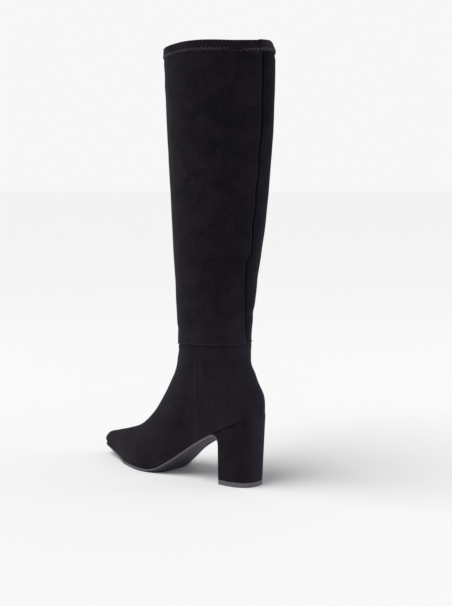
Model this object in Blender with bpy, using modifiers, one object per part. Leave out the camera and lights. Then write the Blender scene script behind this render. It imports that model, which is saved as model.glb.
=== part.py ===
"""Left knee-high boot with a pointed toe and a covered block heel, one solid for each sewn or glued piece.

Frame: +X points to the toe, +Y to the outer side of the leg and +Z up. The ball of the sole and the heel's
top piece stand on z = 0, and the origin is under the middle of the boot's length and width.
"""

import bmesh
import bpy
import numpy as np

MM = 0.001

# Driving dimensions in millimetres. Lengths along the foot are measured from the heel's seat.
BOOT_HEIGHT = 487.0
ANKLE_SEAM_HEIGHT = 158.0
BAND_HEIGHT = 10.0
SEAT_HEIGHT = 80.0  # top of the heel at its back
MIDDLE_X = 117.2  # half way between the collar's back and the toe's tip
UPPER_WALL = 1.8
SHAFT_WALL = 1.6
BAND_WALL = 2.0
SOLE_THICKNESS = 4.0
SOLE_THICKNESS_AT_TOE = 1.9
TOE_THINS_FROM = 180.0
INSOLE_THICKNESS = 3.0
INSOLE_CLEARANCE = 0.8
TOP_PIECE_THICKNESS = 5.5
HEEL_BREAST_TOP = 34.2
HEEL_BREAST_BOTTOM = 35.4
BREAST_FILLET = 8.5
HEEL_BACK_TOP = -6.3
HEEL_BACK_BOTTOM = -3.6
HEEL_HALF_WIDTH_TOP = 26.5
HEEL_HALF_WIDTH_BOTTOM = 22.6
HEEL_CORNER_POWER = 2.4  # 2 would be an ellipse, and more is squarer
HEEL_ROUND_SHARE = 0.8  # part of the heel's length that its round back takes
SLAB_HALF_WIDTH = 60.0
CUTTER_HALF_HEIGHT = 100.0
GAP = 0.3  # between pieces that are glued or sewn together

FOOT_TO_LEG = 60.0  # height over which the foot's width turns into the leg's
FOOT_ROWS = 18
SHAFT_ROWS = 11
BAND_ROWS = 2
AROUND = 44
STATIONS = np.arange(-20, 261, 7.0)  # places along the foot where the stacked pieces bend

# Side view, toe to collar: x, z, and how far in from this line the boot reaches its full width
FRONT_LINE = (
    (244.8, 14.0, 10),
    (246.9, 15.7, 11),
    (247.4, 18.8, 12),
    (241.5, 25.8, 14),
    (224.0, 31.9, 20),
    (200.0, 38.6, 30),
    (173.0, 48.4, 42),
    (150.3, 66.0, 46),
    (132.8, 88.0, 46),
    (116.5, 113.5, 44),
    (106.0, 137.0, 42),
    (103.0, ANKLE_SEAM_HEIGHT, 41),
    (104.0, 178.0, 42),
    (105.5, 230.0, 48),
    (107.5, 300.0, 55),
    (110.5, 370.0, 60),
    (114.5, 440.0, 63),
    (117.0, BOOT_HEIGHT, 64),
)
FRONT_ANKLE_ROW = 11
FRONT_CROWDING = 1.4  # over 1 draws the foot's rings together round the toe's tip

# Side view, heel seat to collar: x, z, and the same depth of rounding
BACK_LINE = (
    (-6.5, SEAT_HEIGHT, 27),
    (-7.0, 90.0, 29),
    (-5.5, 101.0, 32),
    (6.0, 120.0, 36),
    (15.5, 140.0, 38),
    (15.8, ANKLE_SEAM_HEIGHT, 40),
    (14.3, 180.0, 41),
    (7.9, 230.0, 47),
    (-1.7, 300.0, 55),
    (-8.2, 370.0, 61),
    (-12.0, 440.0, 64),
    (-13.0, BOOT_HEIGHT, 64),
)
BACK_ANKLE_ROW = 5
BACK_CROWDING = 1.25
SAG_POWER = 1.6  # how fast the foot's rings level out above the arch

# Upper's lower edge: x, z. The sole lies flat wherever this falls below its thickness.
FEATHER_EDGE = (
    (-6.5, SEAT_HEIGHT),
    (2.0, 77.0),
    (15.0, 71.0),
    (34.0, 62.0),
    (50.0, 54.0),
    (75.0, 39.5),
    (92.0, 28.0),
    (108.0, 16.5),
    (122.0, 8.0),
    (134.0, 4.4),
    (150.0, 3.4),
    (170.0, 3.2),
    (188.0, 4.6),
    (205.0, 7.6),
    (225.0, 11.3),
    (243.0, 14.0),
)

# Sole's outline: x, half widths on the outer and the inner side, and the middle line's place
SOLE_OUTLINE = (
    (-7, 26.0, 26.0, 0),
    (20, 27.0, 27.0, 0),
    (50, 26.5, 24.5, 0),
    (85, 25.0, 17.5, 0),
    (120, 33.5, 28.0, -1),
    (150, 37.5, 34.5, -3),
    (180, 30.5, 32.0, -6),
    (205, 21.5, 25.5, -9),
    (225, 15.0, 17.0, -11),
    (240, 10.0, 10.0, -12),
    (248, 8.0, 8.0, -12),
)

# Leg's half width: z, half width
LEG_WIDTH = (
    (60, 30.0),
    (100, 32.5),
    (130, 34.0),
    (158, 37.5),
    (180, 38.5),
    (230, 44.2),
    (300, 51.8),
    (370, 56.5),
    (440, 58.3),
    (BOOT_HEIGHT, 57.5),
)


def columns(table):
    return np.array(table, float).T


def curve(knots, values, at):
    """Smooth curve through the rows of a table, level beyond its ends."""
    at = np.clip(at, knots[0], knots[-1])
    slopes = np.gradient(values, knots)
    row = np.clip(np.searchsorted(knots, at, side="right") - 1, 0, len(knots) - 2)
    span = knots[row + 1] - knots[row]
    t = (at - knots[row]) / span
    start = (1 + 2 * t) * (1 - t) ** 2 * values[row] + t * (1 - t) ** 2 * span * slopes[row]
    end = t * t * (3 - 2 * t) * values[row + 1] + t * t * (t - 1) * span * slopes[row + 1]
    return start + end


def smoothstep(t):
    t = np.clip(t, 0, 1)
    return t * t * (3 - 2 * t)


class ProfileLine:
    """One edge of the boot's side view, found by its length from the feather edge."""

    SAMPLES = 400

    def __init__(self, table, ankle_row, crowding):
        x, z, depth = columns(table)
        lengths = np.concatenate([[0], np.cumsum(np.hypot(np.diff(x), np.diff(z)))])
        self.length = np.linspace(0, lengths[-1], self.SAMPLES)
        self.x = curve(lengths, x, self.length)
        self.z = curve(lengths, z, self.length)
        self.depth = curve(lengths, depth, self.length)
        self.ankle = lengths[ankle_row]
        self.crowding = crowding

    def at(self, level):
        """(x, z) at a level: 0 is the feather edge, 1 the ankle seam and 2 the collar."""
        rest = self.length[-1] - self.ankle
        foot_length = np.clip(level, 0, 1) ** self.crowding * self.ankle
        length = foot_length + np.clip(level - 1, 0, 1) * rest
        return np.interp(length, self.length, self.x), np.interp(length, self.length, self.z)

    def roundness(self, x, z):
        """Share of the full width at points of the side view: 0 on the line, 1 past its depth."""
        start = np.stack([self.x[:-1], self.z[:-1]], axis=-1)
        step = np.stack([np.diff(self.x), np.diff(self.z)], axis=-1)
        offset = np.stack([x, z], axis=-1)[:, None] - start
        along = np.clip((offset * step).sum(-1) / (step * step).sum(-1), 0, 1)
        distance = np.linalg.norm(offset - along[..., None] * step, axis=-1)
        nearest = distance.argmin(axis=1)
        share = np.clip(distance.min(axis=1) / self.depth[nearest], 0, 1)
        return np.sqrt(1 - (1 - share) ** 2)


FRONT = ProfileLine(FRONT_LINE, FRONT_ANKLE_ROW, FRONT_CROWDING)
BACK = ProfileLine(BACK_LINE, BACK_ANKLE_ROW, BACK_CROWDING)


def feather_height(x):
    knots, heights = columns(FEATHER_EDGE)
    return np.maximum(curve(knots, heights, x), SOLE_THICKNESS)


def stacked_height(x):
    """The feather edge in straight facets, so that the pieces stacked under the foot keep even gaps."""
    return np.interp(x, STATIONS, feather_height(STATIONS))


def side_point(x, z, outward):
    """y of the boot's skin at points of the side view. outward is 1 on the outer side, -1 on the inner."""
    knots, outer, inner, middle = columns(SOLE_OUTLINE)
    foot = np.where(outward > 0, curve(knots, outer, x), curve(knots, inner, x))
    leg = curve(*columns(LEG_WIDTH), z)
    rise = smoothstep((z - feather_height(x)) / FOOT_TO_LEG)
    half_width = (foot + (leg - foot) * rise) * FRONT.roundness(x, z) * BACK.roundness(x, z)
    return curve(knots, middle, x) * (1 - rise) + outward * half_width


def skin(turn, level):
    """Points of the boot's outer skin. turn runs from 0 at the front, round the outer side, to 1."""
    share = (1 - np.cos(2 * np.pi * turn)) / 2
    front_x, front_z = FRONT.at(level)
    back_x, back_z = BACK.at(level)
    x = front_x + (back_x - front_x) * share
    z = front_z + (back_z - front_z) * share
    toe_x, toe_z = FRONT.at(0.0)
    seat_x, seat_z = BACK.at(0.0)
    edge_x = toe_x + (seat_x - toe_x) * share
    chord_z = toe_z + (seat_z - toe_z) * share
    z = z + np.clip(1 - level, 0, 1) ** SAG_POWER * (feather_height(edge_x) - chord_z)
    y = side_point(x, z, np.where(turn <= 0.5, 1.0, -1.0))
    return np.stack([x, y, z], axis=-1)


def sole_edge(share, start, end):
    """The feather edge in the plan view, as the rows (x, y) of its outer and of its inner side."""
    x = start + (end - start) * share
    return [np.stack([x, side_point(x, feather_height(x), sign)], axis=-1) for sign in (1.0, -1.0)]


def drawn_in(outline, inset):
    """Closed outline moved inwards by the same distance all round."""
    along = np.roll(outline, -1, axis=0) - np.roll(outline, 1, axis=0)
    along /= np.linalg.norm(along, axis=1, keepdims=True)
    inwards = np.stack([along[:, 1], -along[:, 0]], axis=-1)
    return outline + inset * inwards


def new_material(name, colour, roughness):
    material = bpy.data.materials.new(name)
    material.use_nodes = True
    shader = material.node_tree.nodes["Principled BSDF"]
    shader.inputs["Base Color"].default_value = (*colour, 1)
    shader.inputs["Roughness"].default_value = roughness
    shader.inputs["Metallic"].default_value = 0.0
    material.diffuse_color = (*colour, 1)
    return material


def new_collection(name):
    collection = bpy.data.collections.new(name)
    bpy.context.scene.collection.children.link(collection)
    return collection


def link(name, mesh, collection, material):
    thing = bpy.data.objects.new(name, mesh)
    collection.objects.link(thing)
    if material:
        mesh.materials.append(material)
    return thing


def shell(name, bottom, top, rows, wall, collection, material):
    """One stretch of the boot's skin between two levels, thickened inwards."""
    bm = bmesh.new()
    bmesh.ops.create_grid(bm, x_segments=AROUND, y_segments=rows, size=1)
    grid = np.array([vert.co for vert in bm.verts])
    turn = (grid[:, 0] + 1) / 2
    level = bottom + (top - bottom) * (grid[:, 1] + 1) / 2
    for vert, point in zip(bm.verts, skin(turn, level)):
        vert.co = (point - (MIDDLE_X, 0, 0)) * MM
    bmesh.ops.remove_doubles(bm, verts=bm.verts, dist=0.01 * MM)
    bmesh.ops.recalc_face_normals(bm, faces=bm.faces)
    mesh = bpy.data.meshes.new(name)
    bm.to_mesh(mesh)
    bm.free()
    mesh.shade_smooth()
    thing = link(name, mesh, collection, material)
    solidify = thing.modifiers.new("wall", "SOLIDIFY")
    solidify.thickness = wall * MM
    solidify.offset = -1
    return thing


def extruded_outline(name, outline, half_depth, collection, material=None):
    """Closed flat outline, extruded both ways from its plane, as a mesh object."""
    data = bpy.data.curves.new(name, "CURVE")
    data.dimensions = "2D"
    data.fill_mode = "BOTH"
    data.extrude = half_depth * MM
    spline = data.splines.new("POLY")
    spline.points.add(len(outline) - 1)
    for point, (first, second) in zip(spline.points, outline):
        point.co = (first * MM, second * MM, 0, 1)
    spline.use_cyclic_u = True
    guide = bpy.data.objects.new(name + "_outline", data)
    collection.objects.link(guide)
    graph = bpy.context.evaluated_depsgraph_get()
    mesh = bpy.data.meshes.new_from_object(guide.evaluated_get(graph))
    bpy.data.objects.remove(guide)
    bpy.data.curves.remove(data)
    bm = bmesh.new()
    bm.from_mesh(mesh)
    bmesh.ops.remove_doubles(bm, verts=bm.verts, dist=0.001 * MM)
    bmesh.ops.recalc_face_normals(bm, faces=bm.faces)
    bm.to_mesh(mesh)
    bm.free()
    return link(name, mesh, collection, material)


def side_slab(name, outline, collection, material):
    """Outline in the side view, extruded wider than the boot's foot."""
    shifted = [(x - MIDDLE_X, z) for x, z in outline]
    slab = extruded_outline(name, shifted, SLAB_HALF_WIDTH, collection, material)
    slab.rotation_euler = (np.pi / 2, 0, 0)
    return slab


def plan_cutter(name, outline, collection):
    """Outline in the plan view, extruded taller than the heel, that an INTERSECT keeps the inside of."""
    shifted = [(x - MIDDLE_X, y) for x, y in outline]
    cutter = extruded_outline(name, shifted, CUTTER_HALF_HEIGHT, collection)
    cutter.hide_render = True
    cutter.display_type = "WIRE"
    return cutter


def keep_inside(thing, cutter):
    trim = thing.modifiers.new("plan", "BOOLEAN")
    trim.operation = "INTERSECT"
    trim.solver = "EXACT"
    trim.object = cutter


def stacked_edge(start, end, offset):
    """Side view of a line at some height over the feather edge."""
    x = np.concatenate([[start], STATIONS[(STATIONS > start) & (STATIONS < end)], [end]])
    return np.stack([x, stacked_height(x) + offset], axis=-1)


def sole_under(start, end):
    """Side view of the sole's underside. The sole thins towards the toe's tip."""
    edge = stacked_edge(start, end, -SOLE_THICKNESS)
    thinned = smoothstep((edge[:, 0] - TOE_THINS_FROM) / (FRONT_LINE[0][0] - TOE_THINS_FROM))
    return edge + np.stack([0 * thinned, (SOLE_THICKNESS - SOLE_THICKNESS_AT_TOE) * thinned], axis=-1)


def ribbon(start, end, top, bottom):
    """Side outline of a bent sheet between two heights over the feather edge."""
    return np.concatenate([stacked_edge(start, end, top), stacked_edge(start, end, bottom)[::-1]])


def round_ended(steps):
    """Shares of a length that crowd towards both of its ends."""
    return (1 - np.cos(np.linspace(0, np.pi, steps + 1))) / 2


def toe_ended(steps):
    """Shares of a length that crowd towards its far end."""
    return np.sin(np.linspace(0, np.pi / 2, steps + 1))


def insole(parts, cutters, material):
    inset = UPPER_WALL + INSOLE_CLEARANCE
    start = BACK_LINE[0][0]
    end = FRONT_LINE[0][0]
    outer, inner = sole_edge(round_ended(24), start, end)
    outline = drawn_in(np.concatenate([outer, inner[-2:0:-1]]), inset)
    side = ribbon(start - 5, end + 5, INSOLE_THICKNESS, 0)
    board = side_slab("insole", side, parts, material)
    keep_inside(board, plan_cutter("insole_plan", outline, cutters))


def outsole(parts, cutters, material):
    start = HEEL_BREAST_TOP + BREAST_FILLET + GAP
    end = FRONT_LINE[0][0]
    outer, inner = sole_edge(toe_ended(26), start, end)
    outline = np.concatenate([outer, inner[-2::-1]])
    side = np.concatenate([stacked_edge(start - 5, end + 5, -GAP), sole_under(start - 5, end + 5)[::-1]])
    sheet = side_slab("outsole", side, parts, material)
    keep_inside(sheet, plan_cutter("outsole_plan", outline, cutters))


def heel_outline(back, half_width, front):
    """D-shaped plan of the heel: a squarish round back and straight sides, open past the breast."""
    angles = np.linspace(-np.pi / 2, np.pi / 2, 25)
    power = 2 / HEEL_CORNER_POWER
    length = (HEEL_BREAST_TOP - back) * HEEL_ROUND_SHARE
    x = back + length - length * np.abs(np.cos(angles)) ** power
    y = half_width * np.sign(angles) * np.abs(np.sin(angles)) ** power
    return np.concatenate([[(front, -half_width)], np.stack([x, y], axis=-1), [(front, half_width)]])


def heel_cutter(name, cutters):
    """The heel's plan, drawn in evenly from the seat down to the top piece."""
    front = HEEL_BREAST_TOP + 2 * BREAST_FILLET
    cutter = plan_cutter(name, heel_outline(HEEL_BACK_TOP, HEEL_HALF_WIDTH_TOP, front), cutters)
    narrowing = 1 - HEEL_HALF_WIDTH_BOTTOM / HEEL_HALF_WIDTH_TOP
    lean = (HEEL_BACK_BOTTOM - HEEL_BACK_TOP) * MM
    straight_sides = (HEEL_BREAST_TOP - MIDDLE_X) * MM
    for vert in cutter.data.vertices:
        depth = 1 - vert.co.z / (SEAT_HEIGHT * MM)
        vert.co.y *= 1 - narrowing * depth
        if vert.co.x < straight_sides:
            vert.co.x += lean * depth
    return cutter


def breast_x(z):
    """The heel's front face, between the top piece and the fillet."""
    return HEEL_BREAST_BOTTOM + (HEEL_BREAST_TOP - HEEL_BREAST_BOTTOM) * z / SEAT_HEIGHT


def heel_block(parts, cutters, material):
    lip = HEEL_BREAST_TOP + BREAST_FILLET
    seat = stacked_edge(HEEL_BACK_TOP - 5, lip, -GAP)
    underside = stacked_height(lip) - SOLE_THICKNESS
    turn = np.linspace(0, np.pi / 2, 7)
    fillet = np.stack(
        [lip - BREAST_FILLET * np.sin(turn), underside - BREAST_FILLET * (1 - np.cos(turn))], axis=-1
    )
    foot = TOP_PIECE_THICKNESS + GAP
    base = [(breast_x(foot), foot), (HEEL_BACK_TOP - 5, foot)]
    block = side_slab("heel_block", np.concatenate([seat, fillet, base]), parts, material)
    keep_inside(block, heel_cutter("heel_plan", cutters))


def heel_top_piece(parts, cutters, material):
    back = HEEL_BACK_TOP - 5
    front = HEEL_BREAST_BOTTOM
    side = [(back, 0), (front, 0), (front, TOP_PIECE_THICKNESS), (back, TOP_PIECE_THICKNESS)]
    piece = side_slab("heel_top_piece", side, parts, material)
    keep_inside(piece, heel_cutter("top_piece_plan", cutters))


def main():
    for thing in list(bpy.data.objects):
        bpy.data.objects.remove(thing)
    parts = new_collection("knee_boot")
    cutters = new_collection("cutters")
    suede = new_material("black_suede", (0.016, 0.014, 0.018), 0.9)
    stretch = new_material("stretch_suede", (0.019, 0.017, 0.022), 0.85)
    elastic = new_material("grey_elastic", (0.06, 0.055, 0.055), 0.8)
    lining = new_material("lining_board", (0.03, 0.028, 0.03), 0.8)
    rubber = new_material("grey_rubber", (0.11, 0.1, 0.11), 0.6)
    cover = new_material("heel_cover_suede", (0.015, 0.013, 0.017), 0.9)
    lift = new_material("top_piece_rubber", (0.12, 0.11, 0.12), 0.6)
    shaft_height = BOOT_HEIGHT - ANKLE_SEAM_HEIGHT
    band_level = 2 - BAND_HEIGHT / shaft_height
    seam = GAP / shaft_height
    shell("upper", 0, 1, FOOT_ROWS, UPPER_WALL, parts, suede)
    shell("shaft", 1 + seam, band_level - seam, SHAFT_ROWS, SHAFT_WALL, parts, stretch)
    shell("collar_band", band_level, 2, BAND_ROWS, BAND_WALL, parts, elastic)
    insole(parts, cutters, lining)
    outsole(parts, cutters, rubber)
    heel_block(parts, cutters, cover)
    heel_top_piece(parts, cutters, lift)


main()
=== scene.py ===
import bmesh
import bpy
import numpy as np
from bpy.props import FloatProperty, FloatVectorProperty, IntProperty, PointerProperty
from mathutils import Matrix, Vector, noise


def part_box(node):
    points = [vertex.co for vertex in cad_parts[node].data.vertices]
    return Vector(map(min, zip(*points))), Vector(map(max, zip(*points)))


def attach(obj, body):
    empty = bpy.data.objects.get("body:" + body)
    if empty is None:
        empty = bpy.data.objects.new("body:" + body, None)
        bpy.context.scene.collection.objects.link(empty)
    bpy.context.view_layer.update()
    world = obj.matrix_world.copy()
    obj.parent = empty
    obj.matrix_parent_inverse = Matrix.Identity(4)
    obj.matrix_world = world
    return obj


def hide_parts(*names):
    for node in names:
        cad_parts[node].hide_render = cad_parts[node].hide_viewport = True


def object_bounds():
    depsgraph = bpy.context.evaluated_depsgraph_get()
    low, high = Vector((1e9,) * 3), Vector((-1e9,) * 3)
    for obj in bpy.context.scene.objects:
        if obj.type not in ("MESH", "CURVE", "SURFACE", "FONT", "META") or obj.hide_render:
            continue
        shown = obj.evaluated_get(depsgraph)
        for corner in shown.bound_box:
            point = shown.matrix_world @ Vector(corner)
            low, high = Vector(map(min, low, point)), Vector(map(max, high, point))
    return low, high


bl_info = {
    "name": "Knee-high boot",
    "version": (1, 0, 0),
    "blender": (4, 5, 0),
    "location": "3D View > Sidebar > Boot",
    "description": "Sewn panels, collar tape, sole and covered heel of a left knee-high boot",
    "category": "Add Mesh",
}

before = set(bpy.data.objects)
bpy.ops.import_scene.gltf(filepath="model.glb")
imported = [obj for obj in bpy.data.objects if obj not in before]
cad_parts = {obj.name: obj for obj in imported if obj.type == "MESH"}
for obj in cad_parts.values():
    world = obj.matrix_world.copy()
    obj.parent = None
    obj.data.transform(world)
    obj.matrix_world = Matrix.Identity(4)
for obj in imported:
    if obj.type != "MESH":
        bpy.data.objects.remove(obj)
CAD_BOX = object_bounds()

# Lengths are in millimetres: x along the foot from the heel's seat, y to the boot's outer side, z up.
MM = 0.001
BOOT_HEIGHT = CAD_BOX[1].z / MM
ANKLE_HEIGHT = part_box("upper")[1].z / MM
BAND_HEIGHT = (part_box("collar_band")[1].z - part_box("collar_band")[0].z) / MM
TOP_PIECE_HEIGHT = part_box("heel_top_piece")[1].z / MM
COLLAR_BACK = -13.0
MIDDLE_X = COLLAR_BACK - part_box("collar_band")[0].x / MM  # from the seat's scale to the frame's own
SEAT_HEIGHT = 80.0
SHAFT_LENGTH = 331.0  # along the leg from the ankle seam to the collar
GIRTH_AT_COLLAR = 385.0

# Side view, toe to collar: x, z, and how far in from this line the boot reaches its full width
FRONT_LINE = (
    (244.8, 14.0, 10), (246.9, 15.7, 11), (247.4, 18.8, 12), (241.5, 25.8, 14), (224.0, 31.9, 20),
    (200.0, 38.6, 30), (173.0, 48.4, 42), (150.3, 66.0, 46), (132.8, 88.0, 46), (116.5, 113.5, 44),
    (106.0, 137.0, 42), (103.0, 158.0, 41), (104.0, 178.0, 42), (105.5, 230.0, 48), (107.5, 300.0, 55),
    (110.5, 370.0, 60), (114.5, 440.0, 63), (117.0, BOOT_HEIGHT, 64),
)
FRONT_ANKLE_ROW = 11
FRONT_CROWDING = 1.4

# Side view, heel seat to collar: x, z, and the same depth of rounding
BACK_LINE = (
    (-6.5, SEAT_HEIGHT, 27), (-7.0, 90.0, 29), (-5.5, 101.0, 32), (6.0, 120.0, 36), (15.5, 140.0, 38),
    (15.8, 158.0, 40), (14.3, 180.0, 41), (7.9, 230.0, 47), (-1.7, 300.0, 55), (-8.2, 370.0, 61),
    (-12.0, 440.0, 64), (COLLAR_BACK, BOOT_HEIGHT, 64),
)
BACK_ANKLE_ROW = 5
BACK_CROWDING = 1.25
SAG_POWER = 1.6  # how fast the foot's rings level out above the arch
FOOT_TO_LEG = 60.0

# Upper's lower edge: x, z
FEATHER_EDGE = (
    (-6.5, SEAT_HEIGHT), (2.0, 77.0), (15.0, 71.0), (34.0, 62.0), (50.0, 54.0), (75.0, 39.5),
    (92.0, 28.0), (108.0, 16.5), (122.0, 8.0), (134.0, 4.4), (150.0, 3.4), (170.0, 3.2), (188.0, 4.6),
    (205.0, 7.6), (225.0, 11.3), (243.0, 14.0),
)

# Sole's outline: x, half widths on the outer and the inner side, and the middle line's place
SOLE_OUTLINE = (
    (-7, 26.0, 26.0, 0), (20, 27.0, 27.0, 0), (50, 26.5, 24.5, 0), (85, 25.0, 17.5, 0),
    (120, 33.5, 28.0, -1), (150, 37.5, 34.5, -3), (180, 30.5, 32.0, -6), (205, 21.5, 25.5, -9),
    (225, 15.0, 17.0, -11), (240, 10.0, 10.0, -12), (248, 8.0, 8.0, -12),
)

# Leg's half width: z, half width
LEG_WIDTH = (
    (60, 30.0), (100, 32.5), (130, 34.0), (158, 37.5), (180, 38.5), (230, 44.2), (300, 51.8),
    (370, 56.5), (440, 58.3), (BOOT_HEIGHT, 57.5),
)

# Back seam: height, and how far it stands to the outer side. It steps once behind the calf.
BACK_SEAM = (
    (80, -2.0), (105, -5.0), (120, -7.0), (135, -7.0), (158, -4.5), (172, -0.8), (200, 4.4), (222, 8.0),
    (243, 9.4), (254, 9.3), (258, 5.4), (270, 5.6), (292, 7.2), (320, 6.4), (366, 5.5), (420, 5.7),
    (450, 6.4), (BOOT_HEIGHT, 7.0),
)
# Seam between the vamp and each quarter: height, and distance from the heel
SIDE_SEAM = ((20, 65.0), (50, 63.5), (83, 61.5), (106, 59.0), (135, 57.5), (158, 56.5))
FRONT_SEAM_TURN = -0.03  # shaft's front seam, just to the inner side of the shin

# Soft folds: turn, height, reach round the leg, half width, depth, and rise per millimetre round
FOLDS = (
    (0.02, 170, 34, 5.0, 0.7, 0.10), (0.97, 186, 30, 6.0, 0.5, -0.12), (0.05, 146, 30, 5.0, 0.6, 0.15),
    (0.00, 120, 26, 7.0, 0.5, 0.0), (0.44, 176, 26, 5.5, 0.6, -0.15), (0.55, 190, 24, 5.0, 0.6, 0.20),
    (0.46, 140, 22, 5.0, 0.5, 0.10), (0.56, 134, 20, 5.0, 0.5, -0.10), (0.535, 256, 10, 1.8, 1.2, 0.02),
    (0.45, 425, 30, 9.0, 0.8, 0.10), (0.445, 372, 36, 12.0, 1.1, 0.08), (0.45, 330, 30, 9.0, 0.8, 0.12),
    (0.455, 290, 24, 9.0, 0.7, 0.15), (0.46, 264, 20, 6.0, 0.7, 0.10), (0.53, 350, 16, 30.0, 1.2, 0.0),
    (0.30, 215, 40, 10.0, 0.5, -0.25), (0.10, 455, 40, 7.0, 0.4, 0.05),
    (0.70, 240, 40, 12.0, 0.6, 0.25),
)

SOLE_THICKNESS = 4.0
SOLE_THICKNESS_AT_TOE = 1.9
WAIST_BEVEL = 2.6  # how much the arch's inner edge is planed off
WAIST_X = 80.0
SOLE_BELLY = 6.0  # how far the sole's middle hangs below its edges behind the ball
TOE_THINS_FROM = 180.0
PAD_HEIGHT = 0.5  # tread pads under the ball
PADS_START = 126.0
PADS_END = 222.0
GAP = 0.3
ZIGZAG_ABOVE_EDGE = 0.8
ZIGZAG_SUNK_AT = 0.395  # turn at which the zigzag sinks into the tape
TAPE_PAINTED_PALEST_AT = 0.56  # turn at which the tape is painted palest: painted light round the back seam
TAPE_DRAWN_AT = 0.57  # turn at which the elastic draws the collar in most
TAPE_STEP = 0.95  # how far the tape's end stands off what it overlaps
OVERLAP = 0.03  # share of the girth over which the tape overlaps itself
FOLDED_SHARE = 0.24  # share of the tape's rows that turn over the collar's edge
TAPE_OUTER = 0.5  # how far the tape's two legs stand off the skin
TAPE_INNER = -2.25
INSOLE_INSET = 2.6
INSOLE_TOP = 3.0
PADS_INSET = 3.5
TOP_EDGE_DROP = 2.2  # the shaft's panels end this far below the collar's edge
HEEL_BREAST_TOP = 34.2
HEEL_BREAST_BOTTOM = 35.4
BREAST_FILLET = 8.5
HEEL_BACK_TOP = -6.3
HEEL_BACK_BOTTOM = -3.6
HEEL_HALF_WIDTH_TOP = 26.5
HEEL_HALF_WIDTH_BOTTOM = 22.6
HEEL_WIDENS = HEEL_HALF_WIDTH_TOP - HEEL_HALF_WIDTH_BOTTOM
HEEL_CORNER_POWER = 2.4
HEEL_ROUND_SHARE = 0.8
LIP_X = HEEL_BREAST_TOP + BREAST_FILLET

# Rise of the collar's edge: turn, millimetres
COLLAR_RISE = (
    (-0.15, -0.6), (0.00, -1.2), (0.15, -1.1), (0.20, -0.3), (0.25, 1.1), (0.30, 1.4), (0.34, 1.0),
    (0.39, 0.4), (0.43, 0.9), (0.47, 1.9), (0.51, 3.4), (0.55, 4.2), (0.60, 3.2), (0.70, 1.0),
    (0.85, -0.6), (1.00, -1.2), (1.15, -1.1),
)


def columns(table):
    return np.array(table, float).T


def curve(knots, values, at):
    """Smooth curve through the rows of a table, level beyond its ends."""
    at = np.clip(at, knots[0], knots[-1])
    slopes = np.gradient(values, knots)
    row = np.clip(np.searchsorted(knots, at, side="right") - 1, 0, len(knots) - 2)
    span = knots[row + 1] - knots[row]
    t = (at - knots[row]) / span
    start = (1 + 2 * t) * (1 - t) ** 2 * values[row] + t * (1 - t) ** 2 * span * slopes[row]
    end = t * t * (3 - 2 * t) * values[row + 1] + t * t * (t - 1) * span * slopes[row + 1]
    return start + end


def smoothstep(t):
    t = np.clip(t, 0, 1)
    return t * t * (3 - 2 * t)


def ramp(value, start, width):
    """Smooth rise from 0 to 1 over some width."""
    return smoothstep((value - start) / width)


def near(distance, reach):
    """1 at a place, fading smoothly to nothing some way past its reach."""
    return np.exp(-((distance / reach) ** 2))


def turns_from(middle, turn):
    """Shortest way round the boot from one turn to another, with its sign."""
    return (np.asarray(turn) - middle + 0.5) % 1 - 0.5


class ProfileLine:
    """One edge of the boot's side view, found by its length from the feather edge."""

    SAMPLES = 400

    def __init__(self, table, ankle_row, crowding):
        x, z, depth = columns(table)
        lengths = np.concatenate([[0], np.cumsum(np.hypot(np.diff(x), np.diff(z)))])
        self.length = np.linspace(0, lengths[-1], self.SAMPLES)
        self.x = curve(lengths, x, self.length)
        self.z = curve(lengths, z, self.length)
        self.depth = curve(lengths, depth, self.length)
        self.ankle = lengths[ankle_row]
        self.crowding = crowding

    def at(self, level):
        """(x, z) at a level: 0 is the feather edge, 1 the ankle seam and 2 the collar."""
        rest = self.length[-1] - self.ankle
        foot_length = np.clip(level, 0, 1) ** self.crowding * self.ankle
        length = foot_length + np.clip(level - 1, 0, 1) * rest
        return np.interp(length, self.length, self.x), np.interp(length, self.length, self.z)

    def roundness(self, x, z):
        """Share of the full width at points of the side view: 0 on the line, 1 past its depth."""
        start = np.stack([self.x[:-1], self.z[:-1]], axis=-1)
        step = np.stack([np.diff(self.x), np.diff(self.z)], axis=-1)
        offset = np.stack([x, z], axis=-1)[:, None] - start
        along = np.clip((offset * step).sum(-1) / (step * step).sum(-1), 0, 1)
        distance = np.linalg.norm(offset - along[..., None] * step, axis=-1)
        nearest = distance.argmin(axis=1)
        share = np.clip(distance.min(axis=1) / self.depth[nearest], 0, 1)
        return np.sqrt(1 - (1 - share) ** 2)


FRONT = ProfileLine(FRONT_LINE, FRONT_ANKLE_ROW, FRONT_CROWDING)
BACK = ProfileLine(BACK_LINE, BACK_ANKLE_ROW, BACK_CROWDING)


def feather_height(x):
    knots, heights = columns(FEATHER_EDGE)
    return np.maximum(curve(knots, heights, x), SOLE_THICKNESS)


def sole_thickness(x):
    """The sole thins towards the toe's tip, and makes room for the tread pads under the ball."""
    thinned = ramp(x, TOE_THINS_FROM, FRONT_LINE[0][0] - TOE_THINS_FROM)
    over_pads = PAD_HEIGHT * ramp(x, PADS_START - 14, 14)
    return SOLE_THICKNESS - (SOLE_THICKNESS - SOLE_THICKNESS_AT_TOE) * thinned - over_pads


def side_point(x, z, outward):
    """y of the boot's skin at points of the side view. outward is 1 on the outer side, -1 on the inner."""
    knots, outer, inner, middle = columns(SOLE_OUTLINE)
    foot = np.where(outward > 0, curve(knots, outer, x), curve(knots, inner, x))
    leg = curve(*columns(LEG_WIDTH), z)
    rise = ramp(z, feather_height(x), FOOT_TO_LEG)
    half_width = (foot + (leg - foot) * rise) * FRONT.roundness(x, z) * BACK.roundness(x, z)
    return curve(knots, middle, x) * (1 - rise) + outward * half_width


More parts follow.
